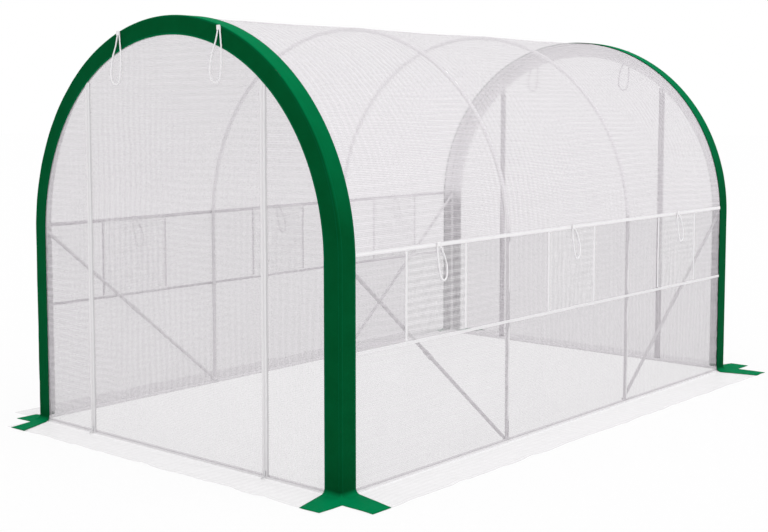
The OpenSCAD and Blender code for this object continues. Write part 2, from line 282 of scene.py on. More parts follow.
def green_material():
    """Woven green tape: a fine weave and sewn edges, with painted light that makes it paler where it faces up or
    down.
    """
    m = Nodes("green_tape")
    u, v, _ = m.split(m.coords())
    place = m.coords("Object")
    warp, weft = m.line(u, 0.0030, 0.0026), m.line(v, 0.0030, 0.0026, 0.5)
    weave = m.plus(m.times(warp, 0.5), m.times(weft, 0.5))
    mottled = m.noise(place, 9.0, 4.0, 0.6)
    colour = m.ramp(mottled, (0.25, (0.0001, 0.072, 0.0175)), (0.75, (0.0001, 0.090, 0.025)))
    # painted light: faces that point up or down are mixed towards a paler green
    up = m.math("ABSOLUTE", m.split(m.coords("Normal"))[2])
    painted_top_light = m.times(m.minus(up, 0.10, clamp=True), 1.25, clamp=True)
    patchy = m.plus(0.70, m.times(mottled, 0.5))
    colour = m.mix(m.times(painted_top_light, patchy, clamp=True), colour, (0.0001, 0.235, 0.078))
    fibres = m.noise(m.stretched(u, v, 6.0, 300.0), 1.0, 3.0)
    colour = m.mix(m.times(fibres, 0.22), colour, (0.0003, 0.046, 0.015))
    # two rows of stitches near each edge: v runs from the edge in metres
    row = m.math("MAXIMUM", m.line(v, ONCE, 0.0022, -0.0007), m.line(v, ONCE, 0.0022, -0.0078))
    stitch = m.times(row, m.line(u, 0.0050, 0.0046))
    colour = m.mix(m.times(stitch, 0.5), colour, (0.001, 0.13, 0.055))
    wave = m.noise(m.stretched(u, v, 9.0, 16.0), 1.0, 3.0)
    normal = m.bump(wave, 0.25, 0.006)
    normal = m.bump(weave, 0.45, 0.0005, normal)
    normal = m.bump(stitch, 0.6, 0.0012, normal)
    rough = m.plus(0.58, m.times(m.noise(place, 40.0, 2.0), 0.16))
    return m.principled(colour, rough, normal, Specular_IOR_Level=0.01, Sheen_Weight=0.16,
                        Sheen_Roughness=0.35, Sheen_Tint=(0.0, 0.85, 0.42, 1.0))


def web_material(name, colour, dark, pitch=0.0016, legs=None, painted_left_leg_shade=None):
    """Woven tape with a row of stitches along its edges. Below the arch it can have folds, with painted shade:
    two darker colours mixed over the folds, and darker ones still on the left leg."""
    m = Nodes(name)
    u, v, _ = m.split(m.coords())
    place = m.coords("Object")
    rib = m.line(v, pitch, pitch * 0.8)
    weft = m.line(u, pitch * 1.4, pitch)
    weave = m.plus(m.times(rib, 0.6), m.times(weft, 0.4))
    mottled = m.noise(place, 14.0, 4.0, 0.6)
    shade = m.mix(m.times(mottled, 0.5), colour, dark)
    shade = m.mix(m.times(m.minus(1.0, weave), 0.30), shade, dark)
    normal = m.bump(weave, 0.5, 0.0004)
    stitch = m.times(m.line(v, ONCE, 0.0016, -0.00035), m.line(u, 0.0042, 0.0036))
    shade = m.mix(m.times(stitch, 0.5), shade, dark)
    normal = m.bump(stitch, 0.7, 0.001, normal)
    wave = m.noise(m.stretched(u, v, 7.0, 20.0), 1.0, 2.0)
    normal = m.bump(wave, 0.25, 0.004, normal)
    # painted shade: below the arch the tape goes over to darker colours in fold patches, darkest on the left leg
    if legs is not None:
        low = m.ramp(m.split(place)[2], (0.86, ON), (1.0, OFF))
        folds = m.noise(m.stretched(u, v, 17.0, 34.0), 1.0, 4.0, 0.65)
        folds = m.ramp(folds, (0.30, OFF), (0.68, ON))
        painted_fold_shade = m.mix(folds, *legs)
        if painted_left_leg_shade is not None:
            left = m.math("LESS_THAN", m.split(place)[0], 0.0)
            painted_fold_shade = m.mix(left, painted_fold_shade, m.mix(folds, *painted_left_leg_shade))
        shade = m.mix(low, shade, painted_fold_shade)
        normal = m.bump(m.times(folds, low), 0.7, 0.006, normal)
    return m.principled(shade, 0.6, normal)


def tube_material():
    """Coated steel tube, uneven and faintly scuffed, with painted light that makes it paler on the arches and
    base rails.
    """
    m = Nodes("coated_tube")
    place = m.coords("Object")
    x, y, z = m.split(place)
    cloud = m.noise(place, 6.0, 4.0, 0.6)
    colour = m.ramp(cloud, (0.3, (0.73, 0.72, 0.73)), (0.7, (0.79, 0.78, 0.79)))
    # painted light: the tube goes over to a paler grey high on the arches and low on the base rails
    arch = m.ramp(z, (0.95, OFF), (1.0, ON))
    painted_rail_light = m.ramp(z, (0.02, ON), (0.04, OFF))
    colour = m.mix(m.math("MAXIMUM", arch, painted_rail_light), colour, (0.93, 0.92, 0.93))
    scuff = m.noise(m.join(m.times(x, 180.0), m.times(y, 8.0), m.times(z, 8.0)), 1.0, 4.0, 0.7)
    marks = m.times(m.minus(scuff, 0.62, clamp=True), 2.2, clamp=True)
    colour = m.mix(marks, colour, (0.66, 0.65, 0.66))
    grain = m.noise(place, 420.0, 2.0)
    normal = m.bump(grain, 0.12, 0.0004)
    rough = m.plus(0.34, m.times(cloud, 0.16))
    return m.principled(colour, rough, normal, Coat_Weight=0.08, Coat_Roughness=0.3)


def steel_material():
    """Zinc-plated bolts and zip sliders."""
    m = Nodes("zinc_plate")
    place = m.coords("Object")
    spangle = m.noise(place, 160.0, 3.0, 0.6)
    colour = m.ramp(spangle, (0.3, (0.66, 0.66, 0.67)), (0.7, (0.80, 0.80, 0.81)))
    rough = m.plus(0.26, m.times(spangle, 0.2))
    normal = m.bump(m.noise(place, 700.0, 2.0), 0.1, 0.0003)
    return m.principled(colour, rough, normal, Metallic=0.6)


def cord_material():
    """A white twisted cord."""
    m = Nodes("white_cord")
    u, v, _ = m.split(m.coords())
    twist = m.plus(m.times(u, 46.0), m.times(v, 3.0))
    strand = m.math("ABSOLUTE", m.minus(m.math("FRACT", twist), 0.5))
    strand = m.times(strand, 2.0)
    place = m.coords("Object")
    fuzz = m.noise(place, 900.0, 2.0)
    colour = m.ramp(strand, (0.0, (0.88, 0.87, 0.88)), (0.35, (0.97, 0.96, 0.97)))
    colour = m.mix(m.times(fuzz, 0.20), colour, (0.88, 0.87, 0.87))
    normal = m.bump(strand, 0.7, 0.0012)
    normal = m.bump(fuzz, 0.25, 0.0004, normal)
    return m.principled(colour, 0.78, normal)


def teeth_material():
    """The coil of a zip."""
    m = Nodes("zip_coil")
    u, v, _ = m.split(m.coords())
    tooth = m.line(u, 0.0030, 0.0024)
    middle = m.line(v, ONCE, 0.0018)
    colour = m.mix(m.times(m.minus(1.0, tooth), 0.6), (0.88, 0.87, 0.88), (0.64, 0.63, 0.64))
    colour = m.mix(m.times(middle, 0.35), colour, (0.68, 0.67, 0.68))
    uneven = m.noise(m.coords("Object"), 60.0, 2.0)
    rough = m.plus(0.34, m.times(uneven, 0.15))
    normal = m.bump(tooth, 0.8, 0.0012)
    return m.principled(colour, rough, normal)


# painted light and shade: the walls, ends, roof and skirts are one film with a tint set per part, much paler on
# the up-facing roof and skirts
FILM = film_material("film", 0.27, 0.46, (0.436, 0.413, 0.436), beat=0.075)
END_FILM = film_material("end_film", 0.30, 0.42, (0.495, 0.471, 0.495), beat=0.062)
ROOF_FILM_PAINTED_LIGHT = film_material("roof_film", 0.325, 0.46, (0.694, 0.666, 0.694), beat=0.030, pale=1.3)
FLAP_FILM = film_material("flap_film", 0.18, 0.38, (0.534, 0.522, 0.534), painted_wrinkle_shade=0.36)
SKIRT_FILM_PAINTED_LIGHT = film_material("skirt_film", 0.46, 0.50, (0.88, 0.86, 0.88), beat=0.006, hem=True)
SCREEN = film_material("insect_screen", 0.02, 0.26, (0.55, 0.54, 0.55), pitch=0.0024,
                       width=0.0012, beat=0.01)
GREEN = green_material()
WHITE_WEB = web_material("white_webbing", (0.94, 0.93, 0.94), (0.82, 0.81, 0.82))
# painted shade: the darker colours of the lining's folds below the arch
LINING_LEG_SHADE = ((0.47, 0.46, 0.47), (0.72, 0.71, 0.72))
# painted light: the back lining is the same tape as the front one, given paler colours
LINING = {
    "front": web_material("front_lining", (0.79, 0.78, 0.79), (0.66, 0.65, 0.66), pitch=0.006,
                          legs=LINING_LEG_SHADE),
    "back": web_material("back_lining", (0.94, 0.93, 0.94), (0.87, 0.86, 0.87), pitch=0.006,
                         legs=LINING_LEG_SHADE, painted_left_leg_shade=((0.27, 0.26, 0.27), (0.52, 0.51, 0.52))),
}
# painted shadow: the grey of the dark strip beside each zip
ZIP_SHADOW_WEB = web_material("seam_binding", (0.66, 0.65, 0.66), (0.54, 0.53, 0.54))
CREASE = web_material("crease_binding", (0.90, 0.89, 0.90), (0.82, 0.81, 0.82))
TUBE = tube_material()
STEEL = steel_material()
CORD = cord_material()
TEETH = teeth_material()


# ---------------------------------------------------------------- mesh helpers

def add_mesh(name, points, faces, uvs, material, slot, sharp=None):
    """A smooth piece; with sharp, edges past that many degrees stay hard."""
    mesh = bpy.data.meshes.new(name)
    mesh.from_pydata([tuple(p) for p in points], [], faces)
    layer = mesh.uv_layers.new(name="flat")
    layer.data.foreach_set("uv", np.array(uvs, float).reshape(-1))
    mesh.materials.append(material)
    mesh.shade_smooth()
    if sharp is not None:
        mesh.set_sharp_from_angle(angle=math.radians(sharp))
    mesh.update()
    o = bpy.data.objects.new(name, mesh)
    bpy.context.scene.collection.objects.link(o)
    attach(o, "root")
    return o


def grid(points, uv, keep=None):
    """Points, faces and face-corner UVs of a grid of rows and columns, or of the cells kept."""
    rows, cols = points.shape[:2]
    flat, flat_uv = points.reshape(-1, 3), uv.reshape(-1, 2)
    i, j = np.meshgrid(np.arange(rows - 1), np.arange(cols - 1), indexing="ij")
    if keep is not None:
        i, j = i[keep], j[keep]
    a = (i * cols + j).reshape(-1)
    quads = np.stack([a, a + 1, a + cols + 1, a + cols], 1)
    used, inverse = np.unique(quads, return_inverse=True)
    return flat[used], inverse.reshape(-1, 4).tolist(), flat_uv[quads.reshape(-1)]


def merged(*grids):
    """Several points, faces and UVs as one."""
    points, faces, uvs, base = [], [], [], 0
    for p, f, uv in grids:
        points.append(np.asarray(p, float))
        faces += [[k + base for k in q] for q in f]
        uvs.append(np.asarray(uv, float).reshape(-1, 2))
        base += len(p)
    return np.concatenate(points), faces, np.concatenate(uvs)


def waves(u, v, seed, n, low, high, stretch=1.0, turn=0.0):
    """A smooth uneven field, mostly from -1 to 1, made of n waves between low and high long;
    stretch lengthens it along the angle turn."""
    rng = np.random.default_rng(seed)
    out = np.zeros(np.broadcast(u, v).shape)
    for _ in range(n):
        k = 2 * np.pi / rng.uniform(low, high)
        a = turn + np.pi / 2 + rng.normal(0, 0.6 / stretch)
        out = out + np.sin(k * (np.cos(a) * u + np.sin(a) * v) + rng.uniform(0, 2 * np.pi))
    return out / (1.2 * n ** 0.5)


def step(x):
    """From 0 at 0 to 1 at 1, smoothly."""
    x = np.clip(x, 0, 1)
    return x * x * (3 - 2 * x)


def lengths(path):
    """How far each point of a path is along it."""
    return np.concatenate([[0], np.cumsum(np.linalg.norm(np.diff(path, axis=0), axis=1))])


def unit(rows):
    return rows / np.linalg.norm(rows, axis=1, keepdims=True)


def on_arch(s, lift=0.0):
    """A point of the arch's section, s metres from the foot of the right leg, up and over."""
    a = (s - LEG) / R
    straight = s < LEG
    far = s > LEG + math.pi * R
    r = R + lift
    x = np.where(straight, r, np.where(far, -r, r * np.cos(a)))
    z = np.where(straight, s, np.where(far, 2 * LEG + math.pi * R - s, LEG + r * np.sin(a)))
    return x, z


def tube(rings, uv, cap_uv):
    """A closed tube of rings with flat ends; uv gives the UV at a ring and a step round it."""
    count, around = len(rings), len(rings[0])
    faces, uvs = [], []
    for i in range(count - 1):
        for k in range(around):
            j = (k + 1) % around
            faces.append([i * around + k, i * around + j, (i + 1) * around + j,
                          (i + 1) * around + k])
            uvs += [uv(i, k), uv(i, k + 1), uv(i + 1, k + 1), uv(i + 1, k)]
    for i, order in ((0, range(around - 1, -1, -1)), (count - 1, range(around))):
        faces.append([i * around + k for k in order])
        uvs += [cap_uv(i, k) for k in order]
    return np.reshape(rings, (-1, 3)), faces, uvs


def ribbon(path, side, out, width, thick, edge=0.0006):
    """A strip along path: side is the way across it, out the way it faces. Rounded edges."""
    path = np.asarray(path, float)
    side = unit(np.broadcast_to(np.asarray(side, float), path.shape))
    out = unit(np.broadcast_to(np.asarray(out, float), path.shape))
    w, t, e = width / 2, thick, edge
    ring = [(-w, 0), (-w, t - e), (-w + e, t), (-w * 0.4, t), (w * 0.4, t), (w - e, t),
            (w, t - e), (w, 0)]
    rings = [[p + s * a + o * b for a, b in ring] for p, s, o in zip(path, side, out)]
    along = lengths(path)
    across = [w + a for a, _ in ring]
    from_edge = [min(v, width - v) for v in across]
    return tube(rings, lambda i, k: (along[i], from_edge[k % len(ring)]),
                lambda i, k: (along[i], across[k]))


# ---------------------------------------------------------------- the tie cords

# each route runs from one end of the cord to the other, in millimetres across and upwards
TIE_LONG = [(-4.5, 0), (-9, -21), (-15, -42), (-22, -63), (-31, -83), (-41, -103), (-49, -124),
            (-54, -146), (-57, -168), (-58, -190), (-55, -210), (-44, -226), (-27, -233),
            (-10, -229), (1, -215), (6, -195), (9, -173), (11, -151), (12, -129), (12, -107),
            (12, -85), (10, -63), (8, -42), (6, -21), (4.5, 0)]
TIE_SHORT = [(-4.5, 0), (-5, -20), (-4, -40), (-2, -60), (2, -80), (6, -100), (11, -120),
             (17, -140), (27, -157), (43, -163), (57, -153), (62, -135), (62, -115), (59, -95),
             (51, -76), (42, -57), (31, -38), (18, -20), (4.5, 0)]
CORD_D, CORD_SIDES = 0.007, 12
TIE_X = 0.33                                 # from the middle to a tie on an end
TIE_OUT = 0.0042                             # how far the cord's middle stands off the tape


def smooth_line(points, n):
    """The route's points again, on a smooth curve through them."""
    p = np.array(points, float)
    p = np.vstack([2 * p[0] - p[1], p, 2 * p[-1] - p[-2]])
    out = []
    for i in range(1, len(p) - 2):
        for t in np.linspace(0, 1, n, endpoint=False):
            a, b, c, d = p[i - 1:i + 3]
            out.append(0.5 * ((2 * b) + (c - a) * t + (2 * a - 5 * b + 4 * c - d) * t * t
                              + (3 * b - a - 3 * c + d) * t ** 3))
    return np.array(out + [p[-2]])


def tie(node, loop, origin, across):
    """One tie: a loop of cord, both ends sewn on under a small tab."""
    across, origin = np.array(across, float), np.array(origin, float)
    route = [origin + across * a * 0.001 + np.array([0, 0, b * 0.001]) for a, b in loop]
    line = smooth_line(route, 3)
    out = np.cross(across, (0, 0, 1))
    out = out if out @ (origin * (1, 1, 0)) > 0 else -out
    beside = np.cross(unit(np.gradient(line, axis=0)), out)
    length = lengths(line)
    turn = [2 * math.pi * k / CORD_SIDES for k in range(CORD_SIDES)]
    rings = []
    for p, b, s in zip(line, beside, length):
        # the strands' ridges wind along the cord
        rings.append([p + CORD_D / 2 * (1 + 0.05 * math.cos(3 * a - 260 * s))
                      * (math.cos(a) * b + math.sin(a) * out) for a in turn])

    def uv(i, k):
        return length[i], k / CORD_SIDES

    o = add_mesh(node + "_cord", *tube(rings, uv, uv), CORD, "cord")
    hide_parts(node)
    # the sewn tab over the two ends
    top = origin + np.array([0, 0, 0.004])
    path = [top + np.array([0, 0, -0.020 * k / 5]) + out * (0.0030 + 0.0006 * math.sin(k * 0.63))
            for k in range(6)]
    tab = add_mesh(node + "_tab", *ribbon(path, across, out, 0.021, 0.0022), WHITE_WEB, "tape",
                   sharp=40)
    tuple(route[0])


end_z = LEG + math.sqrt(R ** 2 - TIE_X ** 2) - 0.002
for face, word in ENDS:
    for side, hand in SIDES:
        tie(f"tie_{word}_{hand}", TIE_LONG, (side * TIE_X, face * (TRIM_Y + TIE_OUT), end_z),
            (1, 0, 0))
for side, hand in SIDES:
    for i, y in enumerate(WIN_Y):
        tie(f"tie_{hand}_{i + 1}", TIE_SHORT,
            (side * (TRIM_OUT + TIE_OUT), y, WIN_TOP + 0.008), (0, 1, 0))


# ---------------------------------------------------------------- frame tubes

RAILS = [f"base_rail_{word}" for word in ("front", "back", "left", "right")]
BRACES = [f"brace_{word}_{hand}" for _, word in ENDS for _, hand in SIDES]
for node in HOOP_NODES + RAILS + BRACES:
    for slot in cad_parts[node].material_slots:
        slot.material = TUBE


# the bolts that hold the flattened ends of the braces to the hoops
BRACE_X = 0.9763 - 0.0015                    # inner face of a flattened end
FOOT_BOLT_Z, HEAD_BOLT_Z = 0.015, LEG + 0.033


def bolt(at, side):
    """A washer, a six-sided head with a chamfer, and its slightly domed top."""
    n = 24
    turn = np.arange(n) * 2 * math.pi / n
    six = 0.0050 / np.cos((turn + math.pi / 6) % (math.pi / 3) - math.pi / 6)
    rings = [(-0.0004, 0.0078 + 0 * six), (0.0008, 0.0078 + 0 * six), (0.0010, 0.0074 + 0 * six),
             (0.0010, six), (0.0042, six), (0.0050, 0.0047 + 0 * six), (0.0053, 0.0020 + 0 * six)]
    points = [[(at[0] - side * off, at[1] + r[k] * math.cos(turn[k]),
                at[2] + r[k] * math.sin(turn[k])) for k in range(n)] for off, r in rings]

    def uv(i, k):
        return 0.0004 * k, 0.002 * i

    return tube(points, uv, uv)


for side, hand in SIDES:
    bolts = [bolt((side * BRACE_X, y, z), side)
             for y, z in zip(HOOPS, (HEAD_BOLT_Z, FOOT_BOLT_Z, FOOT_BOLT_Z, HEAD_BOLT_Z))]
    add_mesh(f"brace_bolts_{hand}", *merged(*bolts), STEEL, "tube", sharp=35)


# ---------------------------------------------------------------- cover film

def spaced(low, high, size, *cuts):
    """Grid lines from low to high about size apart, with one at each cut."""
    marks = sorted({low, high, *[c for c in cuts if low < c < high]})
    out = [low]
    for a, b in zip(marks, marks[1:]):
        out += list(np.linspace(a, b, max(1, round((b - a) / size)) + 1)[1:])
    return np.array(out)


def sag(y):
    """How far the film is pulled in between two hoops, from 0 to 1."""
    out = np.zeros_like(y)
    for a, b in zip(HOOPS, HOOPS[1:]):
        t = np.clip((y - a) / (b - a), 0, 1)
        inside = (y >= a) & (y <= b)
        out = np.where(inside, np.sin(np.pi * t) ** 0.8, out)
    return out


def near_edge(x, edges, width):
    """0 at the edges, where a sheet is held, rising to 1 at width from them."""
    d = np.min([np.abs(x - e) for e in edges], axis=0)
    return step(d / width)


def skirt_shape(width, cross, held_to, spread, rise, seed, way):
    """A skirt's length and its rows, down the wall, round the bend and outwards, at each line
    of cross. It lies loosely past the bend, except beyond held_to, where tape holds it."""
    down, arc = WALL_FOOT - BEND, 0.5 * math.pi * BEND
    q = spaced(0.0, down + arc + width - BEND, SIZE * 0.8, down, down + arc)
    q = np.unique(np.concatenate([q, down + arc * np.linspace(0, 1, 7)]))
    Q, C = np.meshgrid(q, cross, indexing="ij")
    a = np.clip((Q - down) / BEND, 0, math.pi / 2)
    out = BEND * (1 - np.cos(a)) + np.clip(Q - down - arc, 0, None) - FILM_IN
    Z = WALL_FOOT - np.minimum(Q, down) - BEND * np.sin(a) + GAP
    loose = step((out - 2 * BEND) / spread) * step((held_to - np.abs(C)) / 0.12)
    swell = waves(C, Q, seed + way, 12, 0.10, 0.45, stretch=1.4, turn=1.5)
    Z = Z + loose * rise * np.clip(0.35 + swell, 0, None)
    Z = Z + loose * 0.0009 * (1 + waves(C, Q, seed + 2 + way, 8, 0.03, 0.07))
    out = out - loose * 0.004 * (1 + waves(C, Q * 0, seed + 4, 8, 0.2, 0.8, turn=1.57))
    return float(q[-1]), Q, C, out, Z


def bind_crease(word, path, out):
    """The binding sewn along the foot of a wall, where its skirt begins."""
    add_mesh(f"crease_{word}", *ribbon(path, (0, 0, 1), out, 0.0078, 0.0008, edge=0.0003),
             CREASE, "skirt", sharp=40)


def roof():
    """The roof, from the top tape of one side over to the other, pulled in between hoops."""
    s0, s1 = WIN_TOP, 2 * LEG + math.pi * R - WIN_TOP
    S, Y = np.meshgrid(spaced(s0, s1, SIZE), spaced(-HALF, HALF, SIZE, *HOOPS), indexing="ij")
    ends = near_edge(Y, (-HALF, HALF), 0.12) * near_edge(S, (s0, s1), 0.10)
    lift = -0.0045 * sag(Y) * ends
    lift -= 0.0022 * (1 + waves(Y, S, 11, 14, 0.05, 0.17, stretch=4.0)) * ends * sag(Y)
    lift -= 0.0006 * (1 + waves(Y, S, 12, 10, 0.03, 0.08)) * ends
    X, Z = on_arch(S, lift - FILM_IN)
    sheet = add_mesh("roof_film", *grid(np.stack([X, Y, Z], -1), np.stack([Y, S], -1)),
                     ROOF_FILM_PAINTED_LIGHT, "film")
    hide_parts("roof_sheet")


WINDOW_EDGES = [y + k * WIN_W / 2 for y in WIN_Y for k in (-1, 1)]
WALL_LINES = spaced(-HALF, HALF, SIZE, *WINDOW_EDGES, *HOOPS)


def side_wall(side, hand):
    """A side wall up to its top tape, with the window openings left out."""
    z_lines = spaced(WALL_FOOT, WIN_TOP, SIZE, WIN_LOW)
    Zs, Y = np.meshgrid(z_lines, WALL_LINES, indexing="ij")
    calm = near_edge(Zs, (0.0, WIN_LOW, WIN_TOP), 0.05) * near_edge(Y, (-HALF, HALF), 0.10)
    calm = calm * near_edge(Y, WINDOW_EDGES, 0.03)
    lift = -0.0030 * sag(Y) * calm
    lift -= 0.0020 * (1 + waves(Y, Zs, 21 + side, 14, 0.06, 0.2, stretch=2.0, turn=1.2)) * calm
    X, Z = on_arch(Zs, lift - FILM_IN)
    yc, zc = (WALL_LINES[1:] + WALL_LINES[:-1]) / 2, (z_lines[1:] + z_lines[:-1]) / 2
    hole = np.zeros((len(zc), len(yc)), bool)
    for y in WIN_Y:
        hole |= ((zc > WIN_LOW) & (zc < WIN_TOP))[:, None] & (np.abs(yc - y) < WIN_W / 2)[None, :]
    wall = add_mesh(f"side_film_{hand}",
                    *grid(np.stack([side * X, Y, Z], -1), np.stack([Y, Zs], -1), ~hole),
                    FILM, "film")
    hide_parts(f"lower_wall_{hand}", f"window_band_{hand}")


def side_skirt(side, hand):
    """The skirt that bends out from a side wall's foot, and the binding of its crease."""
    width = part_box("skirt_right")[1][0] - R
    length, Q, Y, out, Z = skirt_shape(width, WALL_LINES, HALF - 0.09, 0.06, 0.0030, 31, side)
    skirt = add_mesh(f"skirt_film_{hand}", *grid(np.stack([side * (R + out), Y, Z], -1),
                                                 np.stack([Y, length - Q], -1)),
                     SKIRT_FILM_PAINTED_LIGHT, "skirt")
    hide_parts(f"skirt_{hand}")
    ys = spaced(-SIDE_Y + CUT, SIDE_Y - CUT, 0.04)
    path = np.stack([np.full(len(ys), side * (R + GAP)), ys, np.full(len(ys), CREASE_Z)], -1)
    bind_crease(hand, path, (side, 0, 0))


def window_screens(side, hand):
    """The screens in the openings."""
    made = []
    for i, y in enumerate(WIN_Y):
        w = WIN_W / 2 - GAP
        ys, zs = spaced(y - w, y + w, 0.012), spaced(WIN_LOW + GAP, WIN_TOP - GAP, 0.012)
        Zs, Y = np.meshgrid(zs, ys, indexing="ij")
        calm = near_edge(Zs, (WIN_LOW, WIN_TOP), 0.04) * near_edge(Y, (y - w, y + w), 0.04)
        X, Z = on_arch(Zs, -0.0014 - 0.0018 * (1 + waves(Y, Zs, 41 + i, 8, 0.08, 0.3)) * calm)
        made.append(grid(np.stack([side * X, Y, Z], -1), np.stack([Y, Zs], -1)))
    screens = add_mesh(f"screens_{hand}", *merged(*made), SCREEN, "screen")
    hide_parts(f"window_screens_{hand}")


def window_flaps(side, hand):
    """The flaps let down over the screens, with the folds of being rolled up."""
    made = []
    for i, y in enumerate(WIN_Y):
        w = WIN_W / 2 - TAPE_W / 2 + 0.004
        top, low = WIN_TOP - TAPE_W / 2 + 0.003, WIN_LOW + TAPE_W / 2 - 0.004
        ys, zs = spaced(y - w, y + w, 0.008), spaced(low, top, 0.008)
        Zs, Y = np.meshgrid(zs, ys, indexing="ij")
        calm = near_edge(Zs, (low, top), 0.05) * near_edge(Y, (y - w, y + w), 0.05)
        fall = waves(Y, Zs, 51 + i + 3 * side, 12, 0.035, 0.13, stretch=1.6, turn=1.4)
        drape = waves(Y, Zs, 61 + i + 3 * side, 8, 0.10, 0.30, turn=0.9)
        proud = (0.0040 + 0.0034 * fall + 0.0022 * drape).clip(0, None)
        X, Z = on_arch(Zs, GAP + calm * proud)
        made.append(grid(np.stack([side * X, Y, Z], -1), np.stack([Y, Zs], -1)))
    flaps = add_mesh(f"flaps_{hand}", *merged(*made), FLAP_FILM, "flap")
    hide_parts(f"window_flaps_{hand}")


def window_tapes(side, hand):
    """The white tapes over and under the windows, and beside each one."""
    strips = []
    for s_mid, width in ((WIN_TOP, 0.0175), (WIN_LOW, 0.0130)):
        ys = spaced(-SIDE_Y + GAP, SIDE_Y - GAP, 0.03)
        x, z = on_arch(np.full(len(ys), s_mid), 0.0)
        wobble = 0.0006 * waves(ys, ys * 0, 71 + side, 8, 0.15, 0.6, turn=1.57)
        a = max(0.0, (s_mid - LEG) / R)
        out = np.array([side * math.cos(a), 0, math.sin(a)])
        up = np.array([-side * math.sin(a), 0, math.cos(a)])
        path = np.stack([side * x, ys, z + wobble], -1) + out * TAPE_OUT
        strips.append(ribbon(path, up, out, width, 0.0016))
    for y in WIN_Y:
        for k in (-1, 1):
            zs = spaced(WIN_LOW + TAPE_W / 2, WIN_TOP - TAPE_W / 2, 0.02)
            x, z = on_arch(zs, 0.0)
            wobble = 0.0006 * waves(zs, zs * 0, int(80 + 7 * y + k), 6, 0.1, 0.4, turn=1.57)
            path = np.stack([side * (x + TAPE_OUT), y + k * WIN_W / 2 + wobble, z], -1)
            strips.append(ribbon(path, (0, 1, 0), (side, 0, 0), 0.0125, 0.0015))
    tape = add_mesh(f"window_webbing_{hand}", *merged(*strips), WHITE_WEB, "tape", sharp=40)
    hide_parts(f"window_tape_{hand}")


roof()
for side, hand in SIDES:
    side_wall(side, hand)
    side_skirt(side, hand)
    window_screens(side, hand)
    window_flaps(side, hand)
    window_tapes(side, hand)


# ---------------------------------------------------------------- end walls, doors and zips

def wall_top(x, r):
    """Height of the arch of radius r at x."""
    return LEG + np.sqrt(np.maximum(r * r - x * x, 0))


def end_sheet(x_lines, seed, edges, face):
    """A sheet of an end wall between two upright lines, up to the arch."""
    z_count = int((WIN_TOP + 0.9) / SIZE)
    top = wall_top(np.clip(np.abs(x_lines), 0, WALL_R - 1e-4), WALL_R)
    X = np.broadcast_to(x_lines, (z_count, len(x_lines)))
    Z = WALL_FOOT + np.linspace(0, 1, z_count)[:, None] * (top - WALL_FOOT)[None, :]
    calm = near_edge(X, edges, 0.07) * step((Z - WALL_FOOT) / 0.08)
    calm = calm * step((WALL_R - 0.07 - np.hypot(X, np.maximum(Z - LEG, 0))) / 0.06)
    short = waves(X, Z, seed, 14, 0.05, 0.20, stretch=2.4, turn=0.15)
    wide = waves(X, Z, seed + 1, 8, 0.25, 0.9, stretch=1.2, turn=1.3)
    push = -0.0035 * calm - calm * (0.0016 * short + 0.0020 * wide)
    Y = face * (HALF - FILM_IN + np.minimum(push, 0.0008))
    return grid(np.stack([X, Y, Z], -1), np.stack([X, Z], -1))


def end_wall(face, word):
    """The door between the two zips, and the panel on each side of it."""
    x_lines = spaced(-ZIP_X + 0.001, ZIP_X - 0.001, SIZE)
    door = add_mesh(f"door_film_{word}",
                    *end_sheet(x_lines, 101 + face, (-ZIP_X, ZIP_X), face), END_FILM, "film")
    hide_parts(f"{word}_door")
    made = []
    for side in (-1, 1):
        # the lines close up towards the arch's edge, where it is steep
        steep = 0.94 + (PANEL_X[1] - 0.94) * np.sin(np.linspace(0, 1, 12)[1:] * math.pi / 2)
        x_lines = side * np.concatenate([spaced(ZIP_X + 0.001, 0.94, SIZE), steep])
        made.append(end_sheet(x_lines, 111 + face + side, (side * ZIP_X,), face))
    panels = add_mesh(f"panel_film_{word}", *merged(*made), END_FILM, "film")
    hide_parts(f"{word}_side_panels")


def end_skirt(face, word):
    """The skirt in front of an end wall."""
    width = -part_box("skirt_front")[0][1] - HALF
    x_lines = spaced(-R + CUT, R - CUT, SIZE)
    length, Q, X, out, Z = skirt_shape(width, x_lines, R - 0.10, 0.05, 0.0032, 131, face)
    skirt = add_mesh(f"skirt_film_{word}", *grid(np.stack([X, face * (HALF + out), Z], -1),
                                                 np.stack([X, length - Q], -1)),
                     SKIRT_FILM_PAINTED_LIGHT, "skirt")
    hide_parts(f"skirt_{word}")


def slider(side, face):
    """A zip's slider and the puller that hangs from it onto the skirt."""
    y = np.array([0.002, 0.0032, 0.0036, 0.0032, 0.002])
    z = np.array([0.012, 0.014, 0.020, 0.032, 0.036])
    path = np.stack([np.full(5, side * ZIP_X), face * (HALF + y), z], -1)
    body = ribbon(path, (1, 0, 0), (0, face, 0), 0.0120, 0.0036, edge=0.0012)
    y = np.array([0.0075, 0.0095, 0.0125, 0.0165, 0.0210, 0.0250])
    z = np.array([0.016, 0.0105, 0.0080, 0.0068, 0.0060, 0.0058])
    path = np.stack([side * ZIP_X + 0.1 * y, face * (HALF + y), z], -1)
    return [body, ribbon(path, (1, 0, 0), (0, 0, 1), 0.0080, 0.0022, edge=0.0008)]


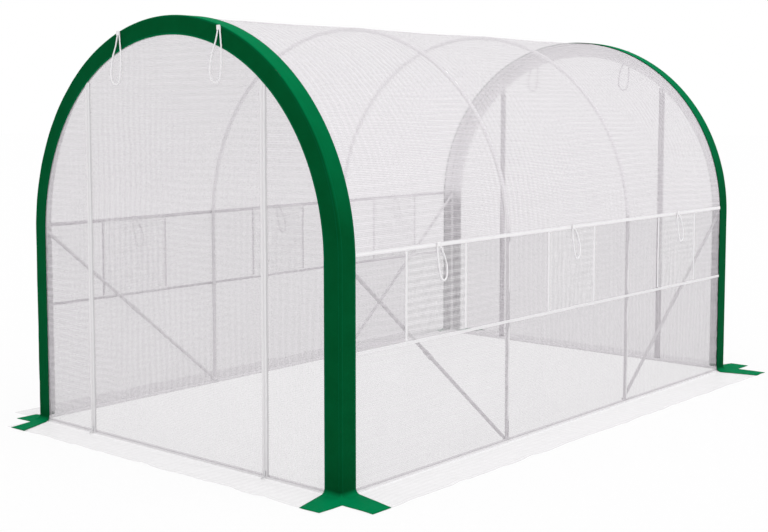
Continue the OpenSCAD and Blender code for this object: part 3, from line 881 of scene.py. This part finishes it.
def zips(face, word):
    """Each zip has a tape at both sides of its coil, a dark strip beside it that is a painted shadow, and a
    slider.
    """
    tapes, coils, edges, sliders = [], [], [], []
    for side in (-1, 1):
        crown = float(wall_top(ZIP_X, TRIM_IN))
        zs = spaced(0.010, crown + 0.012, 0.014)
        wobble = 0.0008 * waves(zs, zs * 0, 141 + side, 8, 0.12, 0.6, turn=1.57)
        tuck = 0.0024 * step((zs - crown + 0.036) / 0.020)    # the tops go in under the trim

        def upright(off, proud=0.0004):
            """A line beside the zip, off from it along X."""
            return np.stack([side * ZIP_X + wobble + off, face * (HALF + proud - tuck), zs], -1)

        across, out = (1, 0, 0), (0, face, 0)
        for k in (-1, 1):
            tapes.append(ribbon(upright(k * ZIP_TAPE_X), across, out, 0.0108, 0.0013))
        coils.append(ribbon(upright(0.0), across, out, 0.0068, 0.0026, edge=0.0012))
        # painted shadow: a dark grey strip along one side of the zip
        edges.append(ribbon(upright(-face * SHADOW_STRIP_X, 0.0002), across, out, 0.0084, 0.0008,
                            edge=0.0003))
        sliders += slider(side, face)
    webs = add_mesh(f"zip_tapes_{word}", *merged(*tapes), WHITE_WEB, "zip", sharp=40)
    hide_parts(f"{word}_zips")
    add_mesh(f"zip_coils_{word}", *merged(*coils), TEETH, "zip", sharp=40)
    add_mesh(f"zip_shadow_strips_{word}", *merged(*edges), ZIP_SHADOW_WEB, "zip", sharp=40)
    add_mesh(f"zip_sliders_{word}", *merged(*sliders), STEEL, "zip", sharp=40)


def end_crease(face, word):
    xs = spaced(-R + 0.05 + CUT, R - 0.05 - CUT, 0.04)
    y, z = np.full(len(xs), face * (HALF + GAP)), np.full(len(xs), CREASE_Z)
    bind_crease(word, np.stack([xs, y, z], -1), (0, face, 0))


for face, word in ENDS:
    end_wall(face, word)
    end_skirt(face, word)
    zips(face, word)
    end_crease(face, word)


# ---------------------------------------------------------------- the green trims

TRIM_X_IN, TRIM_Y_IN = TRIM_OUT - TRIM_THICK, TRIM_Y - TRIM_THICK   # its inner faces
FACE_STEPS = np.concatenate([np.linspace(0, 0.92, 9), [0.955, 0.98, 1.0]])   # over the face
BAND_STEPS = np.concatenate([[0.0, 0.02, 0.045], np.linspace(0.08, 1, 9)])   # along the side
FOLD = 0.0016                                # how far the fold between them is rounded
LEFT_IN = TRIM_IN + NARROW                   # inner edge of the face at the left foot


def trim_rows():
    """The trim's path: the part it is on, its height or angle there, and how far it is bent
    outwards, from the right foot over the arch to the left foot."""
    leg = []
    for a in np.linspace(0, math.pi / 2, 15)[:-1]:
        leg.append(("leg", FOOT_Z + FOOT_R * (1 - math.cos(a)), FOOT_R * (1 - math.sin(a))))
    leg += [("leg", z, 0.0) for z in np.linspace(FOOT_Z + FOOT_R, LEG, 30)[:-1]]
    arch = [("arch", a, 0.0) for a in np.linspace(0, math.pi, 121)]
    return [(1, *r) for r in leg + arch] + [(-1, *r) for r in leg[::-1]]


def trim_section(x_in, bent):
    """The tape's points at one row, over its face and then along its side, and how far each
    is from its edge."""
    x_out, y_out, rounded = TRIM_X_IN + bent, TRIM_Y_IN + bent, FOLD * (1 - bent / FOOT_R)

    def pull(d):
        return 0.7 * rounded * math.exp(-(d / 0.0025) ** 2) if d < 0.01 else 0.0

    points, from_edge = [], []
    for c in FACE_STEPS:
        p = pull((1 - c) * (x_out - x_in))
        points.append((x_in + (x_out - x_in) * c - p, y_out - p))
        from_edge.append((x_out - x_in) * c)
    for c in BAND_STEPS[1:]:
        d = c * (y_out - SIDE_Y)
        points.append((x_out - pull(d), y_out - d - pull(d)))
        from_edge.append((y_out - SIDE_Y) * (1 - c))
    return points, from_edge


def trim_band(face):
    """The trim from foot to foot, narrower towards the left one, and not quite flat."""
    rows, edge_rows = [], []
    for side, part, p, bent in trim_rows():
        if part == "leg":
            points, from_edge = trim_section(TRIM_IN if side > 0 else LEFT_IN, bent)
            rows.append([(side * x, y, p) for x, y in points])
        else:
            points, from_edge = trim_section(TRIM_IN + NARROW * p / math.pi, bent)
            rows.append([(x * math.cos(p), y, LEG + x * math.sin(p)) for x, y in points])
        edge_rows.append(from_edge)
    P, V = np.array(rows), np.array(edge_rows)
    on_face = len(FACE_STEPS)
    U = np.broadcast_to(lengths(P[:, on_face])[:, None], V.shape)
    soft = np.minimum(V, 0.02) / 0.02
    ripple = 0.0007 * waves(U, V * 3, 151 + face, 12, 0.08, 0.35, turn=1.57)
    held = step((P[:, :, 2] - FOOT_Z) / 0.05)
    P[:, :on_face, 1] -= ((ripple * soft + 0.0003) * held)[:, :on_face]
    return grid(P, np.stack([U, V], -1))


def trim_tails(face, side, x_in, lean, reach):
    """The tails of one foot on the ground, one to the end and one to the side, joined at the
    corner. The first leans sideways, and the second reaches that far past the wall."""
    cx, cy = TRIM_X_IN + FOOT_R, TRIM_Y_IN + FOOT_R
    turn_x = cx + math.copysign(TAIL_SPLIT, lean)
    end_x, end_y = TRIM_OUT + lean, HALF + 0.193
    part = TAIL_SPLIT / (end_y - cy)
    a = np.concatenate([np.linspace(0, part, 5), np.linspace(part, 1, 11)[1:]])[:, None]
    b = FACE_STEPS[None, :]
    right = np.interp(a, (0, part, 1), (cx, turn_x, end_x))
    left = x_in + (end_x - 0.105 - x_in) * a
    h = np.clip((a - part) / (1 - part), 0, 1) + 0 * b
    tails = [(left + (right - left) * b, cy + (end_y - cy) * a + 0 * b, h,
              np.minimum(b, 1 - b) * (right - left))]
    share = 0.75                             # of the side tail's width, up to the corner
    b = np.concatenate([(1 - BAND_STEPS[::-1]) * share, np.linspace(share, 1, 5)[1:]])[None, :]
    a = np.linspace(0, 1, 14)[:, None]
    near_x = np.interp(b, (0, share, 1), (cx, cx, turn_x))
    near_y = np.interp(b, (0, share, 1), (SIDE_Y, cy, cy + TAIL_SPLIT))
    far_x, far_y = R + reach, cy + 0.045 - TAIL_W * (1 - b)
    tails.append((near_x + (far_x - near_x) * a, near_y + (far_y - near_y) * a, a + 0 * b,
                  np.minimum(b, 1 - b) * TAIL_W + 0 * a))
    grids = []
    for i, (x, y, h, v) in enumerate(tails):
        wave = waves(x * side, y * face, 161 + side + 2 * face + 10 * i, 8, 0.10, 0.3)
        z = FOOT_Z + h * (GAP + 0.0018 * wave.clip(-0.3, 1.5))
        grids.append(grid(np.stack([side * x, y, z], -1), np.stack([-0.2 * h, v], -1)))
    return grids


def joined(o):
    """Joins the grids' shared edges and turns every face the same way."""
    bm = bmesh.new()
    bm.from_mesh(o.data)
    bmesh.ops.remove_doubles(bm, verts=bm.verts, dist=0.00005)
    bmesh.ops.recalc_face_normals(bm, faces=bm.faces)
    bm.to_mesh(o.data)
    bm.free()
    return o


def trim(face, word):
    """One end's trim: its band and tails as one sheet, thickened outwards."""
    points, faces, uvs = merged(trim_band(face), *trim_tails(face, 1, TRIM_IN, 0.062, 0.225),
                                *trim_tails(face, -1, LEFT_IN, -0.044, 0.095))
    tape = joined(add_mesh(f"trim_tape_{word}", points * (1, face, 1), faces, uvs, GREEN, "trim"))
    thick = tape.modifiers.new("thickness", "SOLIDIFY")
    thick.thickness = TRIM_THICK
    thick.offset = 1.0
    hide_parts(f"{word}_trim")


for face, word in ENDS:
    trim(face, word)


# ---------------------------------------------------------------- the lining of the seams

def arch_path(r, y):
    """A path round the inside at radius r, the way outwards along it, and its lengths."""
    s = np.linspace(0.03, 2 * LEG + math.pi * R - 0.03, 420)
    x, z = on_arch(s, r - R)
    x_out, z_out = on_arch(s, r - R + 0.01)
    out = np.stack([x_out - x, np.zeros(len(s)), z_out - z], -1)
    return np.stack([x, np.full(len(s), y), z], -1), out, s


def lining(face, word):
    """The lining of one end's seams inside, slack on the legs, and a white piping along it."""
    path, out, s = arch_path(R - 0.0042, face * (HALF - STRIP_MID))
    slack = 0.0022 * step((LEG + 0.15 - path[:, 2]) / 0.3)
    path -= unit(out) * (slack * (1 + waves(s, s * 0, 171, 16, 0.035, 0.11, turn=1.57)))[:, None]
    strips = [ribbon(path, (0, 1, 0), out, 0.079, 0.0009)]
    path, out, s = arch_path(R - STRIP_MID, face * (HALF - 0.0052))
    path[:, 1] -= face * slack * (1 + waves(s, s * 0, 172, 16, 0.035, 0.11, turn=1.57))
    strips.append(ribbon(path, out, (0, face, 0), 0.077, 0.0009))
    add_mesh(f"lining_{word}", *merged(*strips), LINING[word], "tape", sharp=40)
    path, out, s = arch_path(R - 0.0120, face * (HALF - 0.0120))
    out, along_y = unit(out), np.array([0.0, face, 0.0])
    add_mesh(f"piping_{word}", *ribbon(path, out - along_y, -out - along_y, 0.0140, 0.0020),
             WHITE_WEB, "tape", sharp=40)


for face, word in ENDS:
    lining(face, word)


# ---------------------------------------------------------------- floor, world and light

def floor_material():
    """A pale matt floor that the camera sees nearly white, with the object's shadow on it."""
    m = Nodes("pale_floor")
    colour = m.ramp(m.noise(m.coords("Object"), 3.0, 3.0),
                    (0.0, (0.95, 0.95, 0.95)), (1.0, (0.97, 0.97, 0.97)))
    ray = m.new("ShaderNodeLightPath").outputs
    seen = m.math("MAXIMUM", ray["Is Camera Ray"], ray["Is Glossy Ray"])
    return m.finish(m.blend(m.times(seen, 0.86), m.shader(colour, 0.9),
                            m.glow("ShaderNodeEmission", (1, 1, 1), 1.0)))


def studio_world():
    """An even light from all round, behind which the camera sees plain white."""
    m = Nodes("studio", world=True)
    ray = m.new("ShaderNodeLightPath").outputs
    seen = m.math("MAXIMUM", ray["Is Camera Ray"], ray["Is Transmission Ray"])
    return m.finish(m.blend(seen, m.glow("ShaderNodeBackground", (1.0, 0.99, 1.0), 0.75),
                            m.glow("ShaderNodeBackground", (1, 1, 1), 1.0)))


FAR, FLOOR_Z = 60.0, -0.0002                 # the floor's half width and height
mesh = bpy.data.meshes.new("floor")
mesh.from_pydata([(x * FAR, y * FAR, FLOOR_Z) for x, y in ((-1, -1), (1, -1), (1, 1), (-1, 1))],
                 [], [(0, 1, 2, 3)])
mesh.materials.append(floor_material())
floor = bpy.data.objects.new("floor", mesh)
bpy.context.scene.collection.objects.link(floor)

bpy.context.scene.world = studio_world()

sun = bpy.data.lights.new("sky_light", "SUN")
sun.energy = 1.0
sun.angle = math.radians(70)
lamp = bpy.data.objects.new("sky_light", sun)
bpy.context.scene.collection.objects.link(lamp)
lamp.rotation_euler = (math.radians(8.6), math.radians(30), 0)

bpy.context.scene.view_settings.view_transform = "Standard"
